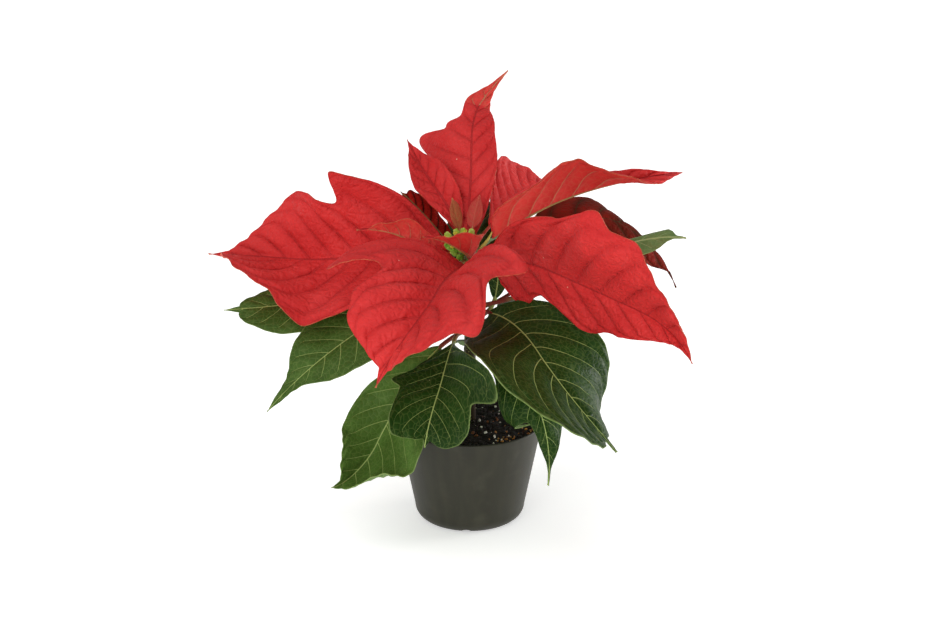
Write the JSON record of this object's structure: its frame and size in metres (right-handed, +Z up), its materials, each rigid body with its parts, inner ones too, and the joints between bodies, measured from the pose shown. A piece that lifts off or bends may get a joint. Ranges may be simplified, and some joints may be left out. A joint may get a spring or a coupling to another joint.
{
  "type": "potted poinsettia",
  "caption": "Potted poinsettia with an upright stem, lobed green leaves, a whorl of broad red bracts and a crown of small green flower cups, in a tapered plastic nursery pot.",
  "frame": {"origin": "centre of the underside of the pot's flat base", "axes": "+Z up along the pot's axis, -Y the side with the large front bract, +X the plant's right seen from the front"},
  "size_m": [0.3243, 0.2753, 0.289],
  "materials": {
    "bract_red": "matte velvety leaf, red",
    "young_bract": "matte leaf, between olive, orange and red",
    "leaf_green": "satin leaf, dark green with paler veins",
    "leaf_maroon": "satin leaf, half turned from green to dark red",
    "stem_green": "smooth green stem",
    "flower_cup": "waxy yellow-green",
    "pot_plastic": "moulded matte, dark olive grey",
    "potting_soil": "dark moist peat with perlite grains"
  },
  "bodies": {
    "root": {"pot": "pot_plastic", "soil": "potting_soil", "stem": "stem_green", "flower_cups": "flower_cup", "bract_front": "bract_red", "bract_left": "bract_red", "bract_top": "bract_red", "bract_top_left": "bract_red", "bract_small_left": "bract_red", "bract_back_right": "bract_red", "bract_right_raised": "bract_red", "bract_right": "bract_red", "bract_small_front": "bract_red", "bractlet_yellow": "young_bract", "bractlet_red": "young_bract", "bractlet_olive": "young_bract", "dark_leaf_left": "leaf_maroon", "dark_leaf_right": "leaf_maroon", "leaf_back_right": "leaf_green", "leaf_far_left": "leaf_green", "leaf_left": "leaf_green", "leaf_front_left": "leaf_green", "leaf_front": "leaf_green", "leaf_right": "leaf_green", "leaf_low_right": "leaf_green", "leaf_axil": "leaf_green", "leaf_back": "leaf_green", "leaf_back_left": "leaf_green", "leaf_rear_right": "leaf_green", "leaf_low_back": "leaf_green"}
  },
  "joints": []
}
